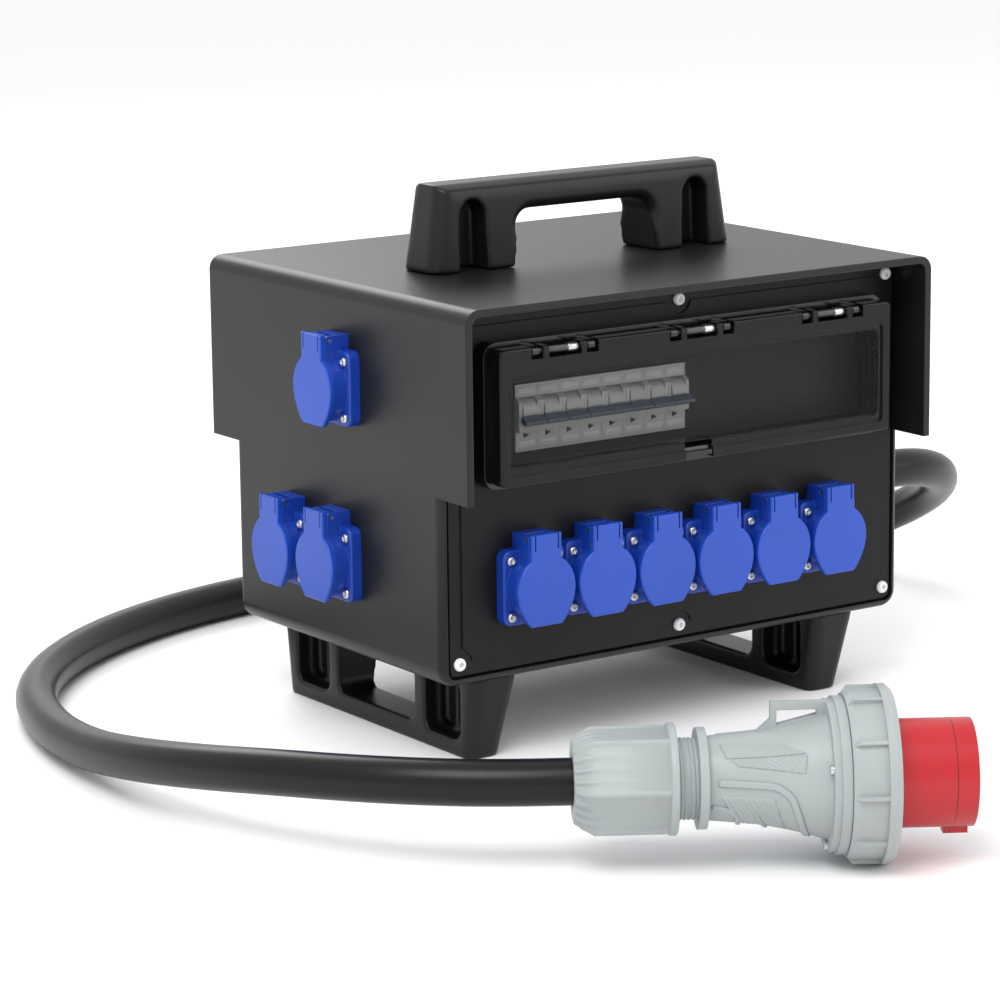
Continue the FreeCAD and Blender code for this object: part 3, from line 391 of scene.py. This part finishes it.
white_coat = moulded("white_coat", (0.80, 0.80, 0.79), (0.5, 0.5, 0.5), 0.35, grain=2500, depth=0.05,
                     edge=0.1)
zinc = moulded("zinc_plate", (0.62, 0.63, 0.64), (0.85, 0.85, 0.85), 0.24, grain=3000, depth=0.06,
               edge=0.1, metal=1.0)
panel_low, panel_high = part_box("front_panel")
housing_low, housing_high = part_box("housing_shell")
middle_x = (housing_low[0] + housing_high[0]) / 2
underside = housing_low[2]
panel_face = panel_low[1]
front_way, up_way, right_way = (0, -1, 0), (0, 0, 1), (1, 0, 0)
panel_screw_places = []
for across in (-181, 0, 181):
    for up in (15, 239.3):
        seat = (middle_x + across * MM, panel_face + 1.2 * MM, underside + up * MM)
        panel_screw_places.append((seat, front_way, right_way))
add_screws("panel_torx_screws", "panel_screws", panel_screw_places, (4.4, 3.2, 2, 24), white_coat)

# ---- Breaker window: a black frame and a lid of smoked clear plastic on three sprung hinges -----
# The lid's thin pane lets more light through than its thick rim: a mask on the pane's rectangle
# picks between the two.
pane_middle = (middle_x, 0, underside + 176.5 * MM)
pane_half = (154.5 * MM, 1, 29.5 * MM)
smoked = bpy.data.materials.new("smoked_clear")
smoked.use_nodes = True
smoked_tree = smoked.node_tree
smoked_shader = smoked_tree.nodes["Principled BSDF"]
smoked_shader.inputs["Base Color"].default_value = (0.005, 0.0047, 0.0043, 1)
smoked_shader.inputs["Specular IOR Level"].default_value = 0.24
smoked_place = smoked_tree.nodes.new("ShaderNodeTexCoord")
smoked_haze = smoked_tree.nodes.new("ShaderNodeTexNoise")
smoked_haze.inputs["Scale"].default_value = 35
smoked_gloss = smoked_tree.nodes.new("ShaderNodeMapRange")
smoked_gloss.inputs["To Min"].default_value = 0.04
smoked_gloss.inputs["To Max"].default_value = 0.13
smoked_edge = smoked_tree.nodes.new("ShaderNodeBevel")
smoked_edge.samples = 6
smoked_edge.inputs["Radius"].default_value = 0.6 * MM
from_middle = smoked_tree.nodes.new("ShaderNodeVectorMath")
from_middle.operation = "SUBTRACT"
from_middle.inputs[1].default_value = pane_middle
in_halves = smoked_tree.nodes.new("ShaderNodeVectorMath")
in_halves.operation = "DIVIDE"
in_halves.inputs[1].default_value = pane_half
reach = smoked_tree.nodes.new("ShaderNodeVectorMath")
reach.operation = "ABSOLUTE"
reach_parts = smoked_tree.nodes.new("ShaderNodeSeparateXYZ")
furthest = smoked_tree.nodes.new("ShaderNodeMath")
furthest.operation = "MAXIMUM"
density = smoked_tree.nodes.new("ShaderNodeMapRange")
density.inputs["From Min"].default_value = 0.98
density.inputs["From Max"].default_value = 1.02
density.inputs["To Min"].default_value = 0.24
density.inputs["To Max"].default_value = 0.88
link(smoked_tree, smoked_place.outputs["Object"], smoked_haze.inputs["Vector"])
link(smoked_tree, smoked_haze.outputs["Fac"], smoked_gloss.inputs["Value"])
link(smoked_tree, smoked_gloss.outputs["Result"], smoked_shader.inputs["Roughness"])
link(smoked_tree, smoked_edge.outputs["Normal"], smoked_shader.inputs["Normal"])
link(smoked_tree, smoked_place.outputs["Object"], from_middle.inputs[0])
link(smoked_tree, from_middle.outputs["Vector"], in_halves.inputs[0])
link(smoked_tree, in_halves.outputs["Vector"], reach.inputs[0])
link(smoked_tree, reach.outputs["Vector"], reach_parts.inputs["Vector"])
link(smoked_tree, reach_parts.outputs["X"], furthest.inputs[0])
link(smoked_tree, reach_parts.outputs["Z"], furthest.inputs[1])
link(smoked_tree, furthest.outputs["Value"], density.inputs["Value"])
link(smoked_tree, density.outputs["Result"], smoked_shader.inputs["Alpha"])
dress(smoked, "window_lid")
dress(zinc, "window_hinge_pins")

pin_low, pin_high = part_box("window_hinge_pins")
pin_y, pin_z = (pin_low[1] + pin_high[1]) / 2, (pin_low[2] + pin_high[2]) / 2


def coil_points(start, length, radius, wire, turns, steps=16, sides=7):
    """A spring along x: a wire of round section carried along a helix about the pin."""
    around = np.linspace(0, 2 * np.pi * turns, int(steps * turns))[:, None]
    about = np.linspace(0, 2 * np.pi, sides, endpoint=False)[None, :]
    along = start[0] + length * around / around[-1] + wire * np.sin(about)
    reach = radius + wire * np.cos(about)
    return np.stack([along, start[1] + reach * np.cos(around), start[2] + reach * np.sin(around)], axis=-1)


def tube_points(start, length, radius, sides=24):
    """A short rod along x with a small round at each rim, closed at both ends."""
    angle = np.linspace(0, 2 * np.pi, sides, endpoint=False)[None, :]
    profile = [(0, 0.02), (0, 0.86), (0.03, 0.97), (0.06, 1), (0.94, 1), (0.97, 0.97), (1, 0.86), (1, 0.02)]
    along = np.array([start[0] + length * share for share, _ in profile])[:, None] + 0 * angle
    reach = np.array([radius * share for _, share in profile])[:, None]
    return np.stack([along, start[1] + reach * np.cos(angle), start[2] + reach * np.sin(angle)], axis=-1)


springs, sleeves = [], []
for hinge in (-112.4, 0, 112.4):
    hinge_x = middle_x + hinge * MM
    spring_start = (hinge_x - 11.5 * MM, pin_y, pin_z)
    springs.append(grid_mesh("coil", coil_points(spring_start, 15 * MM, 2.6 * MM, 0.42 * MM, 15),
                             wrap_columns=True))
    sleeves.append(grid_mesh("sleeve", tube_points((hinge_x + 4.2 * MM, pin_y, pin_z), 8.4 * MM, 3.2 * MM),
                             wrap_columns=True))
spring_steel = moulded("spring_steel", (0.16, 0.155, 0.15), (0.3, 0.3, 0.3), 0.3, grain=3000, edge=0.1,
                       metal=1.0)
add_piece("window_hinge_springs", join_meshes("coils", springs), spring_steel, "enclosure")
add_piece("window_hinge_sleeves", join_meshes("sleeves", sleeves), zinc, "enclosure")

# ---- Breakers: eight grey modules with blue-grey toggles, a flag below each, and a dark cover ----
# The cases are matt grey polyamide; the flags are small dark green wedges moulded on the nose.
breaker_grey = moulded("breaker_grey", (0.62, 0.63, 0.63), (0.8, 0.8, 0.8), 0.45, grain=2200, depth=0.12,
                       edge=0.4)
toggle_grey = moulded("toggle_grey", (0.10, 0.13, 0.17), (0.3, 0.33, 0.38), 0.35, grain=2200, edge=0.5)
cover_plastic = moulded("cover_plastic", (0.022, 0.022, 0.023), (0.08, 0.08, 0.08), 0.5, grain=1500, edge=0.3)
rail_zinc = moulded("rail_zinc", (0.60, 0.60, 0.56), (0.8, 0.8, 0.78), 0.35, grain=800, metal=1.0, edge=0.2)
flag_green = moulded("flag_green", (0.012, 0.07, 0.035), (0.1, 0.2, 0.12), 0.4, grain=2000, edge=0.2)
label_white = moulded("label_white", (0.72, 0.73, 0.74), (0.85, 0.85, 0.85), 0.3, grain=1200, edge=0.1)
# A toggle's drum is the case's grey and only its lever is dark: the distance from the drum's axis
# tells the two apart.
toggle_tree = toggle_grey.node_tree
axis_place = toggle_tree.nodes.new("ShaderNodeTexCoord")
from_axis = toggle_tree.nodes.new("ShaderNodeVectorMath")
from_axis.operation = "SUBTRACT"
from_axis.inputs[1].default_value = (0, panel_face + 6 * MM, underside + 177.5 * MM)
across_axis = toggle_tree.nodes.new("ShaderNodeVectorMath")
across_axis.operation = "MULTIPLY"
across_axis.inputs[1].default_value = (0, 1, 1)
axis_distance = toggle_tree.nodes.new("ShaderNodeVectorMath")
axis_distance.operation = "LENGTH"
on_lever = toggle_tree.nodes.new("ShaderNodeMapRange")
on_lever.inputs["From Min"].default_value = 9.6 * MM
on_lever.inputs["From Max"].default_value = 9.8 * MM
lever_mix = toggle_tree.nodes.new("ShaderNodeMix")
lever_mix.data_type = "RGBA"
lever_mix.inputs["A"].default_value = (0.55, 0.56, 0.56, 1)
link(toggle_tree, axis_place.outputs["Object"], from_axis.inputs[0])
link(toggle_tree, from_axis.outputs["Vector"], across_axis.inputs[0])
link(toggle_tree, across_axis.outputs["Vector"], axis_distance.inputs[0])
link(toggle_tree, axis_distance.outputs["Value"], on_lever.inputs["Value"])
link(toggle_tree, on_lever.outputs["Result"], lever_mix.inputs["Factor"])
toggle_finish = [maker for maker in toggle_tree.nodes if maker.bl_idname == "ShaderNodeGroup"][0]
link(toggle_tree, toggle_finish.outputs["Colour"], lever_mix.inputs["B"])
link(toggle_tree, lever_mix.outputs["Result"], toggle_tree.nodes["Principled BSDF"].inputs["Base Color"])
dress(cover_plastic, "breaker_cover")
dress(rail_zinc, "din_rail")
dress(breaker_grey, "terminal_block")


def plate_points(corners, front, thick):
    """A thin plate seen from -y, over its corners (x, z) about their middle: rows from its back rim
    to its front rim, drawn in by a tenth, and on to the middle of its face."""
    corners = np.array(corners, float)
    middle = corners.mean(0)
    rows = []
    for depth, share in ((front + thick, 1), (front + thick * 0.3, 1), (front, 0.9), (front, 0.01)):
        ring = middle + (corners - middle) * share
        rows.append(np.column_stack([ring[:, 0], depth + 0 * ring[:, 0], ring[:, 1]]))
    return np.array(rows)


flags, labels = [], []
for number in range(1, 9):
    case, lever = "breaker_%d" % number, "breaker_toggle_%d" % number
    dress(breaker_grey, case)
    dress(toggle_grey, lever)
    low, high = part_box(case)
    across = (low[0] + high[0]) / 2
    nose = underside + 150.3 * MM
    face = panel_face + 3 * MM
    tip = across + 2.4 * MM
    flags.append(grid_mesh("flag", plate_points(
        [(tip - 4.6 * MM, nose + 9 * MM), (tip, nose + 10.8 * MM), (tip - 4.6 * MM, nose + 12.6 * MM)],
        face - 0.5 * MM, 0.8 * MM), wrap_columns=True))
    for up, high in ((1.6, 5.2), (38.6, 4.4)):
        labels.append(grid_mesh("label", plate_points(
            [(across - 6.6 * MM, nose + up * MM), (across + 6.6 * MM, nose + up * MM),
             (across + 6.6 * MM, nose + (up + high) * MM), (across - 6.6 * MM, nose + (up + high) * MM)],
            face - 0.3 * MM, 0.6 * MM), wrap_columns=True))
add_piece("breaker_flags", join_meshes("flags", flags), flag_green, "enclosure")
add_piece("breaker_labels", join_meshes("labels", labels), label_white, "enclosure")

# ---- Sockets: nine blue inserts with sprung lids, pan screws and brass earth clips --------------
# Bodies and lids are the same blue polyamide, the lid a little glossier where hands polish it; the lid's paler
# blue is a painted highlight.
socket_blue = moulded("socket_blue", (0.004, 0.040, 0.34), (0.03, 0.12, 0.55), 0.33, grain=1600, depth=0.10,
                      edge=0.8, rub_and_highlight_amount=0.3, cloud=0.12)
# The lid's blue is painted lighter than the body's, though both are the same polyamide: a painted highlight.
highlit_lid_blue = moulded("highlit_lid_blue", (0.006, 0.058, 0.43), (0.05, 0.17, 0.65), 0.30, grain=1600, depth=0.10,
                   edge=0.7, rub_and_highlight_amount=0.35, cloud=0.10)
brass = moulded("contact_brass", (0.72, 0.52, 0.24), (0.85, 0.7, 0.4), 0.28, grain=1200, metal=1.0, edge=0.2)
dress(zinc, "socket_hinge_pins")


def clip_points(origin, out, side, sign):
    """An earth clip: a strip bent along the recess wall, its height a shallow hump by a sine."""
    across = np.linspace(-2.2, 2.2, 5)[None, :] * MM
    along = np.linspace(3, 14, 12)[:, None] * MM
    rise = (17.6 - 1.9 * np.sin(np.pi * (along / MM - 3) / 11)) * MM
    sheet = np.stack([across + 0 * along, sign * (rise + 0 * across), along + 0 * across], axis=-1)
    back = sheet + np.array([0, sign * 0.6 * MM, 0])
    ring = np.concatenate([sheet, back[:, ::-1]], axis=1)
    return placed(ring, origin, out, side)


socket_screws, clips = [], []
for name in ["front_%d" % number for number in range(1, 7)] + ["side_%d" % number for number in range(1, 4)]:
    dress(socket_blue, "socket_" + name)
    dress(highlit_lid_blue, "socket_lid_" + name)
    low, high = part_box("socket_" + name)
    if name.startswith("front"):
        centre = np.array([(low[0] + high[0]) / 2, low[1] + 18.7 * MM, low[2] + 25 * MM])
        out, side = front_way, right_way
    else:
        centre = np.array([low[0] + 18.7 * MM, (low[1] + high[1]) / 2, low[2] + 25 * MM])
        out, side = (-1, 0, 0), (0, -1, 0)
    for across in (-19, 19):
        for up in (-19, 19):
            seat = centre + MM * (across * np.array(side) + up * np.array(up_way) + 8.5 * np.array(out))
            socket_screws.append((seat, out, side))
    for sign in (-1, 1):
        clips.append(grid_mesh("clip", clip_points(centre, out, side, sign), wrap_columns=True))
add_screws("socket_pan_screws", "socket_screws", socket_screws, (3.3, 2.2, 1.6, 14), zinc)
add_piece("earth_clips", join_meshes("clips", clips), brass, "enclosure")

shell_places = []
for across in (-72, 72):
    for back in (114, 135):
        shell_places.append(((middle_x + across * MM, panel_face + back * MM, underside + 249.5 * MM),
                             (0, 0, -1), right_way))
for foot_node in ("foot_left", "foot_right"):
    for back in (46, 210):
        shell_places.append(((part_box(foot_node)[0][0] + 29 * MM, panel_face + back * MM, underside + 5 * MM),
                             up_way, right_way))
add_screws("handle_and_foot_bolts", "shell_screws", shell_places, (4.5, 3, 2.5, 20), zinc)

# ---- Plug: grey polyamide body with a red shroud, lying with its axis level ---------------------
# Local x runs along the plug from the lead's end. The gland nut, the neck's thread, the grip
# pads and ridges and the shroud's seam are laid on the turned body.
plug_grey = moulded("plug_grey", (0.34, 0.37, 0.37), (0.55, 0.58, 0.58), 0.38, grain=1400, depth=0.10,
                    edge=0.8, rub_and_highlight_amount=0.3, cloud=0.08)
plug_red = moulded("plug_red", (0.44, 0.006, 0.012), (0.6, 0.05, 0.05), 0.24, grain=1400, depth=0.08,
                   edge=0.8, rub_and_highlight_amount=0.2, cloud=0.10)
nickel = moulded("nickel_pin", (0.70, 0.66, 0.56), (0.85, 0.8, 0.7), 0.22, grain=900, metal=1.0, edge=0.5)
dress(plug_grey, "plug_body", "plug_locking_ring")
dress(plug_red, "plug_shroud")
dress(nickel, "plug_pins")
dress(zinc, "plug_screws")

plug_start = np.array(lead_route[-1])
plug_turn = math.radians(-31.7)
plug_way = np.array([math.cos(plug_turn), math.sin(plug_turn), 0])
plug_left = np.array([-math.sin(plug_turn), math.cos(plug_turn), 0])


def on_plug(along, radius, angle):
    """Points at a distance along the plug, a radius from its axis and an angle up from the side
    that faces forwards, all as arrays of one shape."""
    level, up = -radius * np.cos(angle), radius * np.sin(angle)
    return (plug_start + along[..., None] * plug_way + level[..., None] * plug_left
            + up[..., None] * np.array(up_way))


def plug_surface(name, rows, sides=180):
    """A surface of revolution-like rows: each row gives along and radius in millimetres, either
    of them a number or a function of the angle."""
    angle = np.linspace(0, 2 * np.pi, sides, endpoint=False)
    along = np.stack([row[0] + 0 * angle for row in rows]) * MM
    radius = np.stack([(row[1](angle) if callable(row[1]) else row[1] + 0 * angle) for row in rows]) * MM
    return grid_mesh(name, on_plug(along, radius, angle[None, :] + 0 * along), wrap_columns=True)


def rib_bell(angle, count, half_degrees):
    """1 on each of count ribs and 0 between them, with soft flanks."""
    offset = np.abs((angle * count / (2 * np.pi) + 0.5) % 1 - 0.5) * 360 / count
    return np.clip((half_degrees + 1.2 - offset) / 1.2, 0, 1)


def nut_radius(flat, cap, notch):
    """Six flats between six ribs: the radius is the flats' hexagon, held under a cap, with 24 small
    fingers left standing where notch is above zero."""
    def radius(angle):
        sector = (angle + np.pi / 6) % (np.pi / 3) - np.pi / 6
        hexagon = flat / np.cos(np.abs(np.abs(sector) - np.pi / 6))
        body = np.minimum(hexagon, cap)
        body = body + (cap + 1.5 - body) * rib_bell(angle, 6, 2.2) * (notch < 0.5)
        return body - notch * (1 - rib_bell(angle, 24, 2.2)) * 2.0
    return radius


nut_rows = [(61.9, 24.6), (62, 33.4), (61.2, 34.0), (57.8, 34.0), (57.0, 33.2),
            (56.8, nut_radius(28.6, 32.2, 0)), (16, nut_radius(28.6, 32.2, 0)),
            (12, nut_radius(28.6, 32.2, 0.3)), (8, nut_radius(28.2, 31.2, 0.8)),
            (4.5, nut_radius(26.8, 29.4, 1.2)), (1.2, nut_radius(25.0, 26.6, 1.2)),
            (0.2, nut_radius(24.2, 25.0, 0.8)), (0.0, 22.5), (0.0, 16.2), (1.5, 15.0), (10, 14.8)]
plug_nut = add_piece("plug_nut", plug_surface("plug_nut", nut_rows, 240), plug_grey, "enclosure")
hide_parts("plug_gland_nut")


def thread_mesh(start, end, radius, pitch, height, sides=96):
    """A helical thread: the radius rises as a triangle wave of along / pitch + angle / turn."""
    angle = np.linspace(0, 2 * np.pi, sides, endpoint=False)[None, :]
    along = np.linspace(start, end, 64)[:, None]
    wave = 1 - np.abs(2 * ((along / pitch + angle / (2 * np.pi)) % 1) - 1)
    fade = np.clip(np.minimum(along - start, end - along) / 1.5, 0, 1)
    reach = (radius + height * wave * fade) * MM
    return grid_mesh("thread", on_plug((along + 0 * angle) * MM, reach, angle + 0 * along), wrap_columns=True)


neck_thread = add_piece("plug_neck_thread", thread_mesh(62.2, 74.4, 24.15, 2.6, 0.95), plug_grey,
                        "enclosure")


def cone_radius(along):
    """The body's radius in millimetres: straight between the turned profile's corners."""
    return np.interp(along, (80, 113, 133, 152.5), (25.3, 28.7, 33.0, 38.8))


def grip_pad(corners, pitch, slant, height):
    """A hatched pad on the cone inside four corners (along, degrees): straight ridges of a
    triangle wave across a slanted line, fading to nothing at the pad's rim."""
    u = np.linspace(0, 1, 84)[:, None]
    v = np.linspace(0, 1, 36)[None, :]
    corner = np.array(corners, float)
    flat = ((1 - u) * (1 - v))[..., None] * corner[0] + (u * (1 - v))[..., None] * corner[1]
    flat = flat + (u * v)[..., None] * corner[2] + ((1 - u) * v)[..., None] * corner[3]
    along, degrees = flat[..., 0], flat[..., 1]
    reach = cone_radius(along)
    across = np.radians(degrees) * reach
    wave = np.abs(2 * (((along * math.cos(slant) + across * math.sin(slant)) / pitch) % 1) - 1)
    rim = np.clip(np.minimum(np.minimum(u, 1 - u) * 40, np.minimum(v, 1 - v) * 18), 0, 1)
    lift = -0.5 + rim * (0.75 + height * wave)
    return on_plug(along * MM, (reach + lift) * MM, np.radians(degrees))


def ridge(stops, width, height):
    """A raised band on the cone that follows stops (along, degrees): its section is a flat-topped
    arch, width across and height high."""
    stops = np.array(stops, float)
    turn = np.linspace(0, len(stops) - 1, 16 * len(stops))
    along = np.interp(turn, np.arange(len(stops)), stops[:, 0])
    degrees = np.interp(turn, np.arange(len(stops)), stops[:, 1])
    kernel = np.ones(9) / 9
    along = np.convolve(np.pad(along, 4, "edge"), kernel, "valid")
    across = np.convolve(np.pad(np.radians(degrees) * cone_radius(along), 4, "edge"), kernel, "valid")
    way = np.stack([np.gradient(along), np.gradient(across)], axis=-1)
    way /= np.linalg.norm(way, axis=-1, keepdims=True)
    s = np.linspace(-1, 1, 9)[None, :]
    a = along[:, None] - way[:, 1:] * s * width / 2
    c = across[:, None] + way[:, :1] * s * width / 2
    ends = np.clip(np.minimum(np.arange(len(along)), np.arange(len(along))[::-1]) / 3, 0, 1)[:, None]
    lift = -0.5 + (0.5 + height) * np.clip((1 - s ** 4) * 1.6, 0, 1) * ends
    reach = cone_radius(a) + lift
    return on_plug(a * MM, reach * MM, c / cone_radius(a))


pads, ridges = [], []
for mirror in (1, -1):
    def facing(stops):
        """The same stops on the plug's other cheek."""
        return stops if mirror == 1 else [(along, 180 - degrees) for along, degrees in stops]
    for corners, pitch, slant, height in (
            ([(87, 66), (124, 52), (139, 38), (90, 40)], 2.2, 1.0, 0.7),
            ([(92, 38), (139, 37), (137, 17), (97, 30)], 2.2, 1.0, 0.7),
            ([(86, -8), (119, -10), (127, -62), (101, -62)], 2.6, 0.5, 0.8)):
        pad = grid_mesh("pad", grip_pad(facing(corners), pitch, slant, height))
        pads.append(pad)
    ridge_line = facing([(84, 9), (100, 7), (120, 4), (129, -8), (134, -35), (141, -78)])
    ridges.append(grid_mesh("ridge", ridge(ridge_line, 4.6, 1.1)))
    ridges.append(grid_mesh("ridge", ridge(facing([(81, -26), (91, -29), (97, -40), (99, -72)]), 3.0, 1.2)))
    ridges.append(grid_mesh("ridge", ridge(facing([(107, -30), (111, -48), (116, -76)]), 2.4, 1.2)))
pad_piece = add_piece("plug_grip_pads", join_meshes("pads", pads), plug_grey, "enclosure")
ridge_piece = add_piece("plug_grip_ridges", join_meshes("ridges", ridges), plug_grey, "enclosure")
for piece in (pad_piece, ridge_piece):
    wall = piece.modifiers.new("wall", "SOLIDIFY")
    wall.thickness = 0.4 * MM
    wall.offset = 0

# The shroud's two mouldings meet in a dark line round it: the red turns black where the distance
# along the plug is within a quarter of a millimetre of the joint.
red_tree = plug_red.node_tree
red_place = red_tree.nodes.new("ShaderNodeTexCoord")
from_start = red_tree.nodes.new("ShaderNodeVectorMath")
from_start.operation = "SUBTRACT"
from_start.inputs[1].default_value = plug_start
along_plug = red_tree.nodes.new("ShaderNodeVectorMath")
along_plug.operation = "DOT_PRODUCT"
along_plug.inputs[1].default_value = plug_way
on_seam = red_tree.nodes.new("ShaderNodeMath")
on_seam.operation = "COMPARE"
on_seam.inputs[1].default_value = 228 * MM
on_seam.inputs[2].default_value = 0.25 * MM
seam_mix = red_tree.nodes.new("ShaderNodeMix")
seam_mix.data_type = "RGBA"
seam_mix.inputs["B"].default_value = (0.02, 0.001, 0.001, 1)
link(red_tree, red_place.outputs["Object"], from_start.inputs[0])
link(red_tree, from_start.outputs["Vector"], along_plug.inputs[0])
link(red_tree, along_plug.outputs["Value"], on_seam.inputs[0])
link(red_tree, on_seam.outputs["Value"], seam_mix.inputs["Factor"])
red_finish = [maker for maker in red_tree.nodes if maker.bl_idname == "ShaderNodeGroup"][0]
link(red_tree, red_finish.outputs["Colour"], seam_mix.inputs["A"])
link(red_tree, seam_mix.outputs["Result"], red_tree.nodes["Principled BSDF"].inputs["Base Color"])
